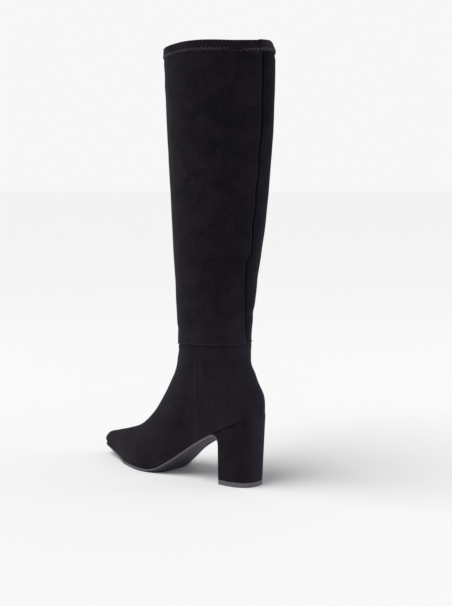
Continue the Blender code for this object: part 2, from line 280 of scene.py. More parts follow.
def skin_ring(turn, level):
    """One ring of the boot's outer skin. turn runs from 0 at the front, round the outer side, to 1."""
    share = (1 - np.cos(2 * np.pi * turn)) / 2
    front_x, front_z = FRONT.at(level)
    back_x, back_z = BACK.at(level)
    x = front_x + (back_x - front_x) * share
    z = front_z + (back_z - front_z) * share
    toe_x, toe_z = FRONT.at(0.0)
    seat_x, seat_z = BACK.at(0.0)
    edge_x = toe_x + (seat_x - toe_x) * share
    chord_z = toe_z + (seat_z - toe_z) * share
    z = z + np.clip(1 - level, 0, 1) ** SAG_POWER * (feather_height(edge_x) - chord_z)
    y = side_point(x, z, np.where(turn <= 0.5, 1.0, -1.0))
    return np.stack([x, y, z], axis=-1)


def unit(vectors):
    return vectors / np.maximum(np.linalg.norm(vectors, axis=-1, keepdims=True), 1e-9)


class Skin:
    """The boot's outer skin, measured once on a fine net of turns and levels."""

    TURNS = np.linspace(0, 1, 361)
    LEVELS = np.concatenate([np.linspace(0, 1, 141), np.linspace(1, 2, 181)[1:]])

    def __init__(self):
        self.points = np.stack([skin_ring(self.TURNS, level) for level in self.LEVELS])
        self.points[:, -1] = self.points[:, 0]
        ring = self.points[:, :-1]
        round_boot = np.roll(ring, -1, axis=1) - np.roll(ring, 1, axis=1)
        up_leg = np.gradient(ring, axis=0)
        out = unit(np.cross(round_boot, up_leg))
        self.out = np.concatenate([out, out[:, :1]], axis=1)

    def read(self, net, turn, level):
        column = (np.asarray(turn) % 1) * (len(self.TURNS) - 1)
        row = np.interp(level, self.LEVELS, np.arange(len(self.LEVELS)))
        c = np.minimum(column.astype(int), len(self.TURNS) - 2)
        r = np.minimum(row.astype(int), len(self.LEVELS) - 2)
        u = (column - c)[..., None]
        v = (row - r)[..., None]
        low = net[r, c] * (1 - u) + net[r, c + 1] * u
        high = net[r + 1, c] * (1 - u) + net[r + 1, c + 1] * u
        return low * (1 - v) + high * v

    def turn_where(self, axis, wanted, first, last):
        """For each level, the turn at which x or y has the value that a table wants at that height."""
        c0, c1 = (round(t * (len(self.TURNS) - 1)) for t in (first, last))
        turns = self.TURNS[c0:c1 + 1]
        found = []
        for ring in self.points:
            part = ring[c0:c1 + 1]
            off = part[:, axis] - curve(*columns(wanted), part[:, 2])
            order = np.argsort(off)
            found.append(np.interp(0, off[order], turns[order]))
        return np.array(found)


def seam_through(turns):
    return lambda level: np.interp(level, SKIN.LEVELS, turns)


SKIN = Skin()
back_seam = seam_through(SKIN.turn_where(1, BACK_SEAM, 0.40, 0.60))
outer_seam = seam_through(SKIN.turn_where(0, SIDE_SEAM, 0.12, 0.42))
inner_seam = seam_through(SKIN.turn_where(0, SIDE_SEAM, 0.58, 0.88) - 1)


def ankle_seam(turn):
    """Level of the seam between foot and shaft: it dips a little over the instep."""
    return 1 - 0.018 * near(turns_from(0.0, turn), 0.16)


def collar_level(drop):
    """Level at some distance below the collar's edge."""
    return 2 - drop / SHAFT_LENGTH


def girth_at(height):
    return np.interp(height, (100, 158, 300, BOOT_HEIGHT), (250, 225, 330, GIRTH_AT_COLLAR))


def folded(turn, points):
    """How far the cloth stands off the even skin: its soft folds, and a slow unevenness."""
    height = points[..., 2]
    lift = np.zeros(height.shape)
    for fold_turn, fold_height, reach, half_width, depth, rise in FOLDS:
        around = turns_from(fold_turn, turn) * girth_at(height)
        across = (height - fold_height - rise * around) / half_width
        shape = 0.5 * np.exp(-((np.abs(across) - 1.9) ** 2) * 1.4) - near(across, 1)
        lift += depth * shape * near(around, reach)
    flat = points.reshape(-1, 3)
    slow = np.array([noise.noise(Vector(p) / 34) + 0.5 * noise.noise(Vector(p) / 15) for p in flat])
    settled = ramp(height, 20, 60)
    return lift + 0.35 * settled * slow.reshape(height.shape)


def placed(turn, level, lift=0.0):
    """Points on the folded skin, moved outwards by lift."""
    points = SKIN.read(SKIN.points, turn, level)
    out = unit(SKIN.read(SKIN.out, turn, level))
    return points + out * (folded(turn, points) + lift)[..., None]


def crowded(share, amount):
    """Shares that crowd towards both ends."""
    return share - amount * np.sin(2 * np.pi * share) / (2 * np.pi)


def grid_of(bm, across, up):
    """Flat grid of quads, and each corner's place in it from 0 to 1."""
    bmesh.ops.create_grid(bm, x_segments=across, y_segments=up, size=1)
    net = np.array([vert.co for vert in bm.verts]).reshape(up + 1, across + 1, 3)
    return (net[..., 0] + 1) / 2, (net[..., 1] + 1) / 2


def put(bm, points):
    for vert, point in zip(bm.verts, points.reshape(-1, 3)):
        vert.co = ((point[0] - MIDDLE_X) * MM, point[1] * MM, point[2] * MM)


def lengths_along(points, axis):
    steps = np.linalg.norm(np.diff(points, axis=axis), axis=-1)
    start = np.zeros_like(np.take(steps, [0], axis=axis))
    return np.concatenate([start, np.cumsum(steps, axis=axis)], axis=axis)


def lay_cloth_map(bm, round_boot, up_leg):
    """UV map in metres along the cloth, for a grid whose corners are still in order."""
    layer = bm.loops.layers.uv.new("cloth")
    u, v = round_boot.ravel() * MM, up_leg.ravel() * MM
    bm.verts.index_update()
    for face in bm.faces:
        for loop in face.loops:
            index = loop.vert.index
            loop[layer].uv = (u[index], v[index])


def paint(bm, name, amounts):
    """Stores a number at each corner, for a material to read."""
    layer = bm.verts.layers.float.new(name)
    for vert, amount in zip(bm.verts, amounts.ravel()):
        vert[layer] = amount


def weld(bm, close=True):
    """Joins corners that meet, closes what stays open and turns the faces outwards."""
    bmesh.ops.remove_doubles(bm, verts=bm.verts, dist=0.01 * MM)
    if close:
        bmesh.ops.holes_fill(bm, edges=[edge for edge in bm.edges if edge.is_boundary], sides=0)
    bmesh.ops.recalc_face_normals(bm, faces=bm.faces)


def object_from(bm, name, material):
    mesh = bpy.data.meshes.new(name)
    bm.to_mesh(mesh)
    bm.free()
    mesh.materials.append(material)
    made = bpy.data.objects.new(name, mesh)
    bpy.context.scene.collection.objects.link(made)
    mesh.shade_smooth()
    return made


def piece_from(context, bm, name, finish, slot, *nodes):
    """A piece of the boot in a finish, for the named nodes of the CAD. Its slot is not used."""
    piece = object_from(bm, name, finish_named(finish, context))
    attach(piece, "root")
    if nodes:
        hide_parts(*nodes)
    return piece


def add_wall(piece, thickness, offset=-1.0):
    wall = piece.modifiers.new("wall", "SOLIDIFY")
    wall.thickness = thickness * MM
    wall.offset = offset
    wall.use_quality_normals = True


def add_rounding(piece, width, segments=3, angle=55.0):
    rounding = piece.modifiers.new("rounding", "BEVEL")
    rounding.width = width * MM
    rounding.segments = segments
    rounding.limit_method = "ANGLE"
    rounding.angle_limit = np.radians(angle)
    rounding.harden_normals = False


def panel(context, name, sides, levels, counts, lift, wear_and_painted_light, look, wall=None):
    """A cut of cloth on the skin between two seams and two levels. lift reads its edges, and so do its
    marks of edge wear and painted light.
    """
    start, end = sides
    bottom, top = levels
    bm = bmesh.new()
    u, v = grid_of(bm, *counts)
    u, v = crowded(u, 0.72), crowded(v, 0.6)
    first_low, first_high = np.mean(bottom(0.0)), np.mean(top(0.0))
    level = first_low + (first_high - first_low) * v
    turn = start(level) + (end(level) - start(level)) * u
    level = bottom(turn) + (top(turn) - bottom(turn)) * v
    turn = start(level) + (end(level) - start(level)) * u
    flat = SKIN.read(SKIN.points, turn, level)
    round_boot, up_leg = lengths_along(flat, 1), lengths_along(flat, 0)
    edges = {
        "start": round_boot,
        "end": round_boot[:, -1:] - round_boot,
        "bottom": up_leg,
        "top": up_leg[-1:] - up_leg,
    }
    put(bm, placed(turn, level, lift(edges)))
    # Marks stored for the material: edge wear, painted highlights and painted shade near the seams.
    paint(bm, "painted_light_and_wear", wear_and_painted_light(edges))
    lay_cloth_map(bm, round_boot - round_boot[:, -1:] / 2, up_leg)
    bmesh.ops.recalc_face_normals(bm, faces=bm.faces)
    piece = piece_from(context, bm, name, *look)
    add_wall(piece, wall or context.scene.boot_sizes.cloth_wall / MM)
    add_rounding(piece, 0.42)


def tucked(distance, reach, depth):
    """Cloth sinking towards a seam."""
    return -depth * (1 - smoothstep(distance / reach))


def raised(distance, reach, height):
    """Cloth standing proud over its own turned edge."""
    return height * near(distance, reach)


def puckered(edge, seam, along, pitch, height):
    """Cloth drawn into small waves by a seam's stitches."""
    return height * np.exp(-edge[seam] / 3.5) * np.sin(2 * np.pi * edge[along] / pitch)


def evenly(value):
    """A line that keeps one level, or one turn."""
    return lambda along: value + 0.0 * np.asarray(along)


def shifted(line, millimetres, girth=240.0):
    """A seam moved round the leg."""
    return lambda level: line(level) + millimetres / girth


SHAFT_LEVELS = (lambda turn: ankle_seam(turn) + 0.0005, evenly(collar_level(TOP_EDGE_DROP)))
FILLET_BASE = float(feather_height(LIP_X)) - SOLE_THICKNESS - BREAST_FILLET


# ---------------------------------------------------------------- materials


def filled(tree, node, sockets):
    """Gives each of a node's sockets a value, or a link from another node's output."""
    for key, value in sockets.items():
        if isinstance(value, bpy.types.NodeSocket):
            tree.links.new(value, node.inputs[key])
        else:
            node.inputs[key].default_value = value
    return node


def wire(tree, kind, sockets, **settings):
    made = tree.nodes.new("ShaderNode" + kind)
    for name, value in settings.items():
        setattr(made, name, value)
    return filled(tree, made, sockets)


def calculate(tree, operation, first, second=0.0, third=0.0):
    sockets = {0: first, 1: second, 2: third}
    return wire(tree, "Math", sockets, operation=operation).outputs[0]


def scaled(tree, value, gain, plus):
    return calculate(tree, "MULTIPLY_ADD", value, gain, plus)


def blended(tree, share, first, second):
    return wire(tree, "Mix", {0: share, 6: first, 7: second}, data_type="RGBA").outputs[2]


def spread(tree, value, low, high, to_low=0.0, to_high=1.0):
    """Value mapped smoothly from one range to another."""
    sockets = {"Value": value, "From Min": low, "From Max": high, "To Min": to_low, "To Max": to_high}
    return wire(tree, "MapRange", sockets, interpolation_type="SMOOTHSTEP").outputs["Result"]


def noise_of(tree, place, scale, detail=2.0, roughness=0.5, distortion=0.0):
    sockets = {"Vector": place, "Scale": scale, "Detail": detail, "Roughness": roughness}
    return wire(tree, "TexNoise", sockets | {"Distortion": distortion}).outputs["Fac"]


def new_group(name, numbers, outputs):
    """Empty shader group that takes a place and some numbers, and gives numbers."""
    tree = bpy.data.node_groups.new(name, "ShaderNodeTree")
    tree.interface.new_socket("Place", in_out="INPUT", socket_type="NodeSocketVector")
    for label, value in numbers.items():
        socket = tree.interface.new_socket(label, in_out="INPUT", socket_type="NodeSocketFloat")
        socket.default_value = value
    for label in outputs:
        tree.interface.new_socket(label, in_out="OUTPUT", socket_type="NodeSocketFloat")
    return tree, tree.nodes.new("NodeGroupInput").outputs, tree.nodes.new("NodeGroupOutput").inputs


def nap_group():
    """Brushed nap: slow patches, small flecks and the grain of single fibres."""
    sizes = {"Patches per metre": 38.0, "Flecks per metre": 260.0, "Fibres per metre": 1500.0}
    amounts = {"Patch": 0.5, "Fleck": 0.5, "Fibre": 0.3}
    tree, given, out = new_group("nap", sizes | amounts, ("Shade", "Height"))
    patches = noise_of(tree, given["Place"], given["Patches per metre"], 3.0, 0.6, 0.8)
    flecks = noise_of(tree, given["Place"], given["Flecks per metre"], 3.0, 0.6, 0.3)
    fibres = noise_of(tree, given["Place"], given["Fibres per metre"], 2.0, 0.6)
    shade = 0.5
    for part, amount in ((patches, "Patch"), (flecks, "Fleck"), (fibres, "Fibre")):
        centred = calculate(tree, "SUBTRACT", part, 0.5)
        shade = scaled(tree, centred, given[amount], shade)
    tree.links.new(shade, out["Shade"])
    tree.links.new(scaled(tree, flecks, 0.6, fibres), out["Height"])


def knit_group():
    """Fine cloth on a cloth map: upright ribs crossed by finer rows."""
    counts = {"Ribs per metre": 900.0, "Rows per metre": 1100.0}
    tree, given, out = new_group("knit", counts, ("Shade", "Height"))
    parts = wire(tree, "SeparateXYZ", {0: given["Place"]}).outputs
    waves = []
    for part, count in ((parts["X"], "Ribs per metre"), (parts["Y"], "Rows per metre")):
        turns = calculate(tree, "MULTIPLY", part, given[count])
        angle = calculate(tree, "MULTIPLY", turns, 2 * np.pi)
        waves.append(scaled(tree, calculate(tree, "SINE", angle), 0.5, 0.5))
    height = scaled(tree, waves[1], 0.45, waves[0])
    fuzz = noise_of(tree, given["Place"], 700.0, 3.0, 0.6)
    tree.links.new(scaled(tree, fuzz, 0.8, height), out["Height"])
    # The rib tops are paler than the valleys between them, and the fuzz adds random tone.
    painted_light_and_wear = scaled(tree, height, 0.35, calculate(tree, "MULTIPLY", fuzz, 0.5))
    tree.links.new(painted_light_and_wear, out["Shade"])


def dust_group():
    """Fine specks, and scuffs that thin out upwards from the floor."""
    sizes = {"Specks per metre": 900.0, "Scuff height": 0.006}
    tree, given, out = new_group("dust", sizes, ("Specks", "Scuffs"))
    specks = noise_of(tree, given["Place"], given["Specks per metre"], 3.0, 0.65)
    tree.links.new(spread(tree, specks, 0.45, 0.75), out["Specks"])
    streaks = noise_of(tree, given["Place"], 170.0, 4.0, 0.7, 1.2)
    marks = spread(tree, streaks, 0.5, 0.72)
    height = wire(tree, "SeparateXYZ", {0: given["Place"]}).outputs["Z"]
    low = spread(tree, calculate(tree, "DIVIDE", height, given["Scuff height"]), 1.0, 0.0)
    tree.links.new(calculate(tree, "MULTIPLY", marks, low), out["Scuffs"])


def group_in(tree, group, sockets):
    made = tree.nodes.new("ShaderNodeGroup")
    made.node_tree = bpy.data.node_groups[group]
    return filled(tree, made, sockets).outputs


def new_material(name, settings):
    """Material with a Principled BSDF, whose even settings stand on its own sockets."""
    material = bpy.data.materials.new(name)
    material.use_nodes = True
    tree = material.node_tree
    shader = filled(tree, tree.nodes["Principled BSDF"], settings)
    return material, tree, shader, tree.nodes.new("ShaderNodeTexCoord").outputs


def feed(tree, shader, colour, rough):
    tree.links.new(colour, shader.inputs["Base Color"])
    tree.links.new(rough, shader.inputs["Roughness"])


def set_bump(tree, shader, height, strength, distance):
    made = wire(tree, "Bump", {"Strength": strength, "Distance": distance, "Height": height})
    tree.links.new(made.outputs["Normal"], shader.inputs["Normal"])


def rgba(colour, gain=1.0):
    return (*(part * gain for part in colour), 1.0)


def dyed(tree, share, colour, dark, light):
    """One colour that runs from a darker to a lighter shade of itself."""
    return blended(tree, share, rgba(colour, dark), rgba(colour, light))


def shine(specular, sheen, roughness, tint=(1.0, 1.0, 1.0)):
    """Even settings of a cloth."""
    return {
        "Specular IOR Level": specular,
        "Sheen Weight": sheen,
        "Sheen Roughness": roughness,
        "Sheen Tint": rgba(tint),
    }


def stored(tree, name):
    """The number that a mesh stores at its corners under some name."""
    return wire(tree, "Attribute", {}, attribute_name=name).outputs["Fac"]


def height_share(tree, place):
    """0 at the floor and 1 at the collar."""
    height = wire(tree, "SeparateXYZ", {0: place["Object"]}).outputs["Z"]
    return calculate(tree, "DIVIDE", height, BOOT_HEIGHT * MM)


def napped(name, dark, light, sheen, sheen_tint, mottling, bump, painted_floor_light=0.0):
    """Suede or brushed cloth. Its last number paints it paler towards the floor: painted light, as if
    bounced up off the floor.
    """
    material, tree, shader, place = new_material(name, shine(0.12, sheen, 0.42, sheen_tint))
    patch, fleck, fibre = mottling
    nap = group_in(tree, "nap", {"Place": place["Object"], "Patch": patch, "Fleck": fleck, "Fibre": fibre})
    # Stored marks of the pieces: edge wear, painted highlights and painted shade.
    painted_light_and_wear = stored(tree, "painted_light_and_wear")
    # Painted light: paler towards the floor, as light bounced up off the floor would make it.
    pale_wear_and_painted_light = spread(tree, height_share(tree, place), 0.0, 0.9, painted_floor_light, 0.0)
    shade = calculate(tree, "ADD", nap["Shade"], scaled(tree, painted_light_and_wear, 0.3, pale_wear_and_painted_light))
    share = wire(tree, "MapRange", {"Value": shade, "From Min": 0.1, "From Max": 1.1}).outputs["Result"]
    colour = blended(tree, share, rgba(dark), rgba(light))
    feed(tree, shader, colour, spread(tree, share, 0.0, 1.0, 0.98, 0.8))
    set_bump(tree, shader, nap["Height"], bump, 0.0004)
    return material


def stretch_material(colours):
    even = shine(0.06, 0.015, 0.35, colours.stretch_sheen)
    material, tree, shader, place = new_material("stretch_cloth", even)
    nap = group_in(tree, "nap", {"Place": place["Object"], "Patch": 0.9, "Fleck": 0.4, "Fibre": 0.3})
    knit = group_in(tree, "knit", {"Place": place["UV"]})
    # Stored marks: edge wear, painted highlights, and painted shade along the back seam.
    painted_light_and_wear = stored(tree, "painted_light_and_wear")
    shade = scaled(tree, knit["Shade"], 0.2, nap["Shade"])
    shade = scaled(tree, painted_light_and_wear, 0.4, shade)
    # Painted light: paler towards the floor.
    shade = calculate(tree, "ADD", shade, spread(tree, height_share(tree, place), 0.3, 0.9, 0.6, 0.0))
    share = spread(tree, shade, 0.2, 1.0)
    colour = blended(tree, share, rgba(colours.stretch_dark), rgba(colours.stretch_light))
    feed(tree, shader, colour, spread(tree, shade, 0.2, 1.0, 0.86, 0.7))
    set_bump(tree, shader, knit["Height"], 0.35, 0.0002)
    return material


def elastic_material(colours):
    material, tree, shader, place = new_material("collar_elastic", shine(0.08, 0.02, 0.4, colours.sheen))
    knit = group_in(tree, "knit", {"Place": place["UV"], "Ribs per metre": 620.0, "Rows per metre": 450.0})
    clouds = noise_of(tree, place["Object"], 38.0, 3.0, 0.6)
    painted_light_and_wear = stored(tree, "painted_light_and_wear")
    shade = scaled(tree, clouds, 1.6, knit["Shade"])
    # Painted light: round the back seam, where its stored marks stand, the tape is paler and has pale
    # clouds.
    share = spread(tree, scaled(tree, painted_light_and_wear, 1.0, shade), 0.8, 1.7)
    unpainted = dyed(tree, share, colours.tape, 0.45, 1.7)
    pale_wear_and_painted_light = spread(tree, calculate(tree, "MULTIPLY", painted_light_and_wear, clouds), 0.1, 0.6)
    colour = blended(tree, pale_wear_and_painted_light, unpainted, rgba(colours.tape, 3.4))
    feed(tree, shader, colour, spread(tree, share, 0.0, 1.0, 0.8, 0.65))
    set_bump(tree, shader, knit["Height"], 0.6, 0.0004)
    return material


def thread_material(name, colour, sheen):
    material, tree, shader, place = new_material(name, shine(0.35, sheen, 0.3))
    twist = noise_of(tree, place["Object"], 2600.0, 2.0, 0.6)
    uneven = noise_of(tree, place["Object"], 150.0, 2.0, 0.5)
    share = spread(tree, calculate(tree, "ADD", twist, uneven), 0.7, 1.3)
    feed(tree, shader, dyed(tree, share, colour, 0.55, 1.4), spread(tree, twist, 0.3, 0.7, 0.7, 0.5))
    set_bump(tree, shader, twist, 0.5, 0.0002)
    return material


def lining_material(colours):
    material, tree, shader, place = new_material("lining_cloth", shine(0.3, 0.1, 0.5))
    knit = group_in(tree, "knit", {"Place": place["UV"], "Ribs per metre": 700.0, "Rows per metre": 700.0})
    nap = group_in(tree, "nap", {"Place": place["Object"], "Patch": 0.8, "Fleck": 0.5, "Fibre": 0.2})
    share = spread(tree, scaled(tree, knit["Shade"], 0.5, nap["Shade"]), 0.3, 1.3)
    colour = dyed(tree, share, colours.lining, 0.6, 1.5)
    feed(tree, shader, colour, spread(tree, share, 0.0, 1.0, 0.85, 0.7))
    set_bump(tree, shader, knit["Height"], 0.5, 0.0003)
    return material


def rubber_material(name, colour, scuff_height):
    """Moulded rubber: fine specks, a slow unevenness, and pale scuffs near the floor."""
    material, tree, shader, place = new_material(name, {"Specular IOR Level": 0.45})
    dust = group_in(tree, "dust", {"Place": place["Object"], "Scuff height": scuff_height})
    slow = noise_of(tree, place["Object"], 30.0, 3.0, 0.55)
    share = spread(tree, scaled(tree, dust["Specks"], 0.25, slow), 0.3, 0.95)
    base = dyed(tree, share, colour, 0.82, 1.15)
    scuffed = calculate(tree, "MULTIPLY", dust["Scuffs"], 0.35)
    # Darker where the mesh stores it: the forefoot's underside.
    underside_darkening = stored(tree, "underside_darkening")
    base = blended(tree, calculate(tree, "MULTIPLY", underside_darkening, 0.93), base, rgba(colour, 0.08))
    rough = scaled(tree, dust["Scuffs"], 0.2, spread(tree, share, 0, 1, 0.5, 0.66))
    feed(tree, shader, blended(tree, scuffed, base, rgba(colour, 2.1)), rough)
    set_bump(tree, shader, dust["Specks"], 0.25, 0.0002)
    return material


def shaded(colour, gain):
    return [part * gain for part in colour]


FINISHES = {}


def finish_named(name, context):
    """The boot's finish of that name, made when first asked for."""
    if not FINISHES:
        nap_group()
        knit_group()
        dust_group()
    given = context.scene.boot_colours
    suede = given.suede_dark, given.suede_light
    # Painted shadow: near-black colours for the strip under the back seam's groove.
    backing = shaded(given.suede_light, 0.05), shaded(given.suede_light, 0.12)
    sock = given.lining, shaded(given.lining, 1.8)
    makers = {
        "suede": lambda: napped("black_suede", *suede, 0.05, given.sheen, (0.8, 0.6, 0.3), 0.35, 0.16),
        "heel": lambda: napped("heel_cover_suede", *suede, 0.06, given.sheen, (0.7, 0.5, 0.3), 0.3, 0.12),
        "backing": lambda: napped("painted_seam_shadow", *backing, 0.0, given.sheen, (0.5, 0.5, 0.3), 0.3),
        "insole": lambda: napped("insole_suede", *sock, 0.1, given.sheen, (0.8, 0.8, 0.4), 0.4),
        "stretch": lambda: stretch_material(given),
        "elastic": lambda: elastic_material(given),
        "tape_thread": lambda: thread_material("tape_thread", given.thread, 0.3),
        "seam_thread": lambda: thread_material("seam_thread", shaded(given.thread, 0.22), 0.1),
        "lining": lambda: lining_material(given),
        "sole": lambda: rubber_material("sole_rubber", given.sole, 0.004),
        "sole_edge": lambda: rubber_material("sole_edge_rubber", given.sole_edge, 0.004),
        "top_piece": lambda: rubber_material("top_piece_rubber", given.top_piece, 0.003),
    }
    if name not in FINISHES:
        FINISHES[name] = makers[name]()
    return FINISHES[name]


# ---------------------------------------------------------------- settings


def length(name, description, millimetres):
    kind = {"min": 0.0, "precision": 4, "unit": "LENGTH"}
    return FloatProperty(name=name, description=description, default=millimetres * MM, **kind)


def number(name, description, value, **kind):
    return FloatProperty(name=name, description=description, default=value, **kind)


def colour(name, description, value):
    kind = {"subtype": "COLOR", "min": 0.0, "max": 1.0}
    return FloatVectorProperty(name=name, description=description, default=value, **kind)


class BootSizes(bpy.types.PropertyGroup):
    band_height: length("Band height", "Height of the elastic tape round the collar", BAND_HEIGHT + 0.5)
    cloth_wall: length("Cloth", "Thickness of the outer cloth with its backing", 1.3)
    lining_wall: length("Lining", "Thickness of the lining", 0.4)
    tape_wall: length("Tape", "Thickness of one layer of the collar tape", 0.7)
    zigzag_pitch: length("Zigzag pitch", "Length of one whole zigzag along the tape", 3.9)
    zigzag_height: length("Zigzag height", "Height of the zigzag stitching", 3.7)
    thread: length("Thread", "Width of a thread of the stitching", 0.7)
    hem_pitch: length("Hem pitch", "Distance between the stitches of the ankle seam", 2.6)
    tread_rows: IntProperty(name="Tread rows", description="Rows of pads under the ball", default=34, min=4)


class BootColours(bpy.types.PropertyGroup):
    suede_dark: colour("Suede, brushed down", "Suede where its nap lies down", (0.0010, 0.0007, 0.0014))
    suede_light: colour("Suede, brushed up", "Suede where its nap stands up", (0.0142, 0.0108, 0.0184))
    sheen: colour("Sheen", "Tint of the light that the nap throws back", (0.62, 0.56, 0.72))
    stretch_dark: colour("Stretch cloth, dark", "Its darker patches", (0.0012, 0.0011, 0.0024))
    stretch_light: colour("Stretch cloth, light", "Its lighter patches", (0.0031, 0.0024, 0.0064))
    stretch_sheen: colour("Stretch sheen", "Tint of the stretch cloth's sheen", (0.6, 0.52, 0.85))
    tape: colour("Tape", "Elastic tape of the collar", (0.0062, 0.0038, 0.0062))
    thread: colour("Thread", "Zigzag thread of the collar", (0.074, 0.062, 0.088))
    lining: colour("Lining", "Lining and insole", (0.018, 0.016, 0.018))
    sole: colour("Sole", "Outsole's underside", (0.051, 0.040, 0.061))
    sole_edge: colour("Sole edge", "Outsole's painted edge", (0.094, 0.083, 0.101))
    top_piece: colour("Top piece", "Heel's top piece", (0.112, 0.099, 0.123))


class StageSettings(bpy.types.PropertyGroup):
    camera_distance: number("Distance", "From the camera to the middle of the foot", 1.3, unit="LENGTH")
    camera_height: number("Height", "Camera's height over the floor", 0.335, unit="LENGTH")
    camera_turn: number("Turn", "From the outer side towards the heel", np.radians(40.5), subtype="ANGLE")
    camera_left: number("Aim aside", "How far the camera looks past the foot", 0.0102, subtype="ANGLE")
    camera_down: number("Aim down", "How far the camera looks down", 0.102, subtype="ANGLE")
    lens: number("Lens", "Focal length on a 36 mm frame", 68.3, unit="CAMERA")
    floor_shade: number("Floor", "How pale the floor is", 0.93, min=0, max=1)
    surround: number("Surround", "Light from all round", 0.4, min=0)
    backdrop: number("Backdrop", "Brightness of the backdrop", 0.93, min=0)
    overhead: number("Overhead", "Strength of the light from above", 2.23, min=0)
    overhead_spread: number("Overhead spread", "Softness of the light from above", 0.9, subtype="ANGLE")
    front_rim: number("Front rim", "Power of the front rim light", 4.0, unit="POWER")
    back_rim: number("Back rim", "Power of the back rim light", 12.0, unit="POWER")


# ---------------------------------------------------------------- pieces


def thread_stitches(context, name, ends, width, *look):
    """Stitches, each a slim thread between two points that sinks at both ends."""
    width *= context.scene.boot_sizes.thread / MM
    bm = bmesh.new()
    for start, end in ends:
        start, end = Vector(start), Vector(end)
        for point in (start, end):
            point.x -= MIDDLE_X
        middle, along = (start + end) / 2 * MM, (end - start) * MM
        turn = along.to_track_quat("Z", "Y").to_matrix().to_4x4()
        size = Matrix.Diagonal((width * MM / 2, width * MM / 2, along.length / 2, 1))
        place = Matrix.Translation(middle) @ turn @ size
        bmesh.ops.create_uvsphere(bm, u_segments=6, v_segments=6, radius=1, matrix=place)
    piece_from(context, bm, name, *look)


def tape_end():
    """Turn at which the collar tape's outer end lies, just outside the back seam."""
    return back_seam(2.0) - 0.005


def tape_step(turn):
    """Share of the collar tape's overlap: 1 at its end over the back seam, 0 past it."""
    along = ((turn - tape_end()) % 1) * GIRTH_AT_COLLAR
    return np.where(along < 0.5 * GIRTH_AT_COLLAR, 1 - smoothstep(along / 16), 0.0)


def collar_rise(turn):
    """The collar's edge rises over the back seam, and a little on the outer side of the shin."""
    return curve(*columns(COLLAR_RISE), np.asarray(turn) % 1)


def collar_draw(turn):
    """Share by which the elastic draws the collar in: most at the back of the calf."""
    return near(turns_from(TAPE_DRAWN_AT, turn), 0.085)


def tape_offset(turn, drop, height):
    """How far the tape's outer face stands off the skin at some distance below the collar's edge."""
    lean = (0.5 + 2.0 * collar_draw(turn)) * smoothstep(1 - drop / height) ** 1.5
    pulled = 1.9 * collar_draw(turn) * (1 - 0.4 * smoothstep(drop / height))
    return -pulled - lean + TAPE_STEP * tape_step(turn)


class BOOT_OT_outer_panel(bpy.types.Operator):
    """Makes the shaft's suede panel, from the front seam round the outer side to the back seam"""

    bl_idname = "boot.outer_panel"
    bl_label = "Outer suede panel"

    def execute(self, context):
        def lift(edge):
            ridge = raised(edge["end"], 2.2, 0.55) + raised(edge["bottom"], 2.0, 0.55)
            sunk = tucked(edge["start"], 2.5, 0.5) + tucked(edge["top"], 9.0, 0.35)
            small = puckered(edge, "end", "bottom", 6.3, 0.10)
            return ridge + sunk + small + puckered(edge, "bottom", "start", 5.2, 0.12)

        def wear_and_painted_light(edge):
            # Pale along the back seam's edge and along the hem: edge wear and painted highlight. Broadly
            # paler low at the back: painted light, where light from behind would fall.
            turned = 1.5 * near(edge["end"], 1.3) + 0.35 * near(edge["bottom"], 0.9)
            return turned + 0.9 * near(edge["bottom"], 48.0) * near(edge["end"], 62.0)

        sides = shifted(evenly(FRONT_SEAM_TURN), 0.15), shifted(back_seam, -0.15)
        look = "suede", "black_suede", "shaft"
        panel(context, "shaft_outer_panel", sides, SHAFT_LEVELS, (96, 150), lift, wear_and_painted_light, look)
        return {"FINISHED"}


class BOOT_OT_stretch_panel(bpy.types.Operator):
    """Makes the shaft's stretch panel, from the back seam round the inner side to the front seam"""

    bl_idname = "boot.stretch_panel"
    bl_label = "Inner stretch panel"

    def execute(self, context):
        def lift(edge):
            ridge = raised(edge["bottom"], 2.0, 0.5)
            sunk = tucked(edge["start"], 2.6, 1.0) + tucked(edge["end"], 2.5, 0.5)
            near_back = near(edge["start"] - 35, 34)
            sunk = sunk + tucked(edge["top"], 4.0, 1.0) * (0.4 + 0.8 * near_back)
            sunk = sunk - (0.3 + 0.8 * near_back) * (1 - ramp(edge["top"], 7, 7))
            sunk = sunk - 0.35 * smoothstep(edge["end"] / 60)
            small = puckered(edge, "start", "bottom", 5.6, 0.1)
            return ridge + sunk + small + puckered(edge, "bottom", "start", 5.2, 0.1)

        def wear_and_painted_light(edge):
            # Pale along the hem and the front edge: edge wear and painted highlight.
            pale_wear_and_painted_light = 0.5 * near(edge["bottom"], 0.9) + 0.3 * near(edge["end"], 1.0)
            # Painted shade: dark along the back seam, in its groove.
            return pale_wear_and_painted_light - 2.2 * near(edge["start"], 1.7)

        sides = shifted(back_seam, 1.15, 330.0), shifted(evenly(1 + FRONT_SEAM_TURN), -0.15)
        look = "stretch", "stretch_suede", "shaft"
        panel(context, "shaft_stretch_panel", sides, SHAFT_LEVELS, (92, 150), lift, wear_and_painted_light, look)

        # Painted shadow: a near-black strip under the back seam's gap, so that the groove reads dark.
        sides = shifted(back_seam, -4.0), shifted(back_seam, 5.0)
        levels = evenly(0.98), evenly(collar_level(4.0))
        deep, unpainted = (lambda edge: -1.4 + 0 * edge["start"]), (lambda edge: 0 * edge["start"])
        look = "backing", "lining", "shaft"
        panel(context, "back_seam_shadow_strip", sides, levels, (8, 150), deep, unpainted, look, 0.3)
        return {"FINISHED"}


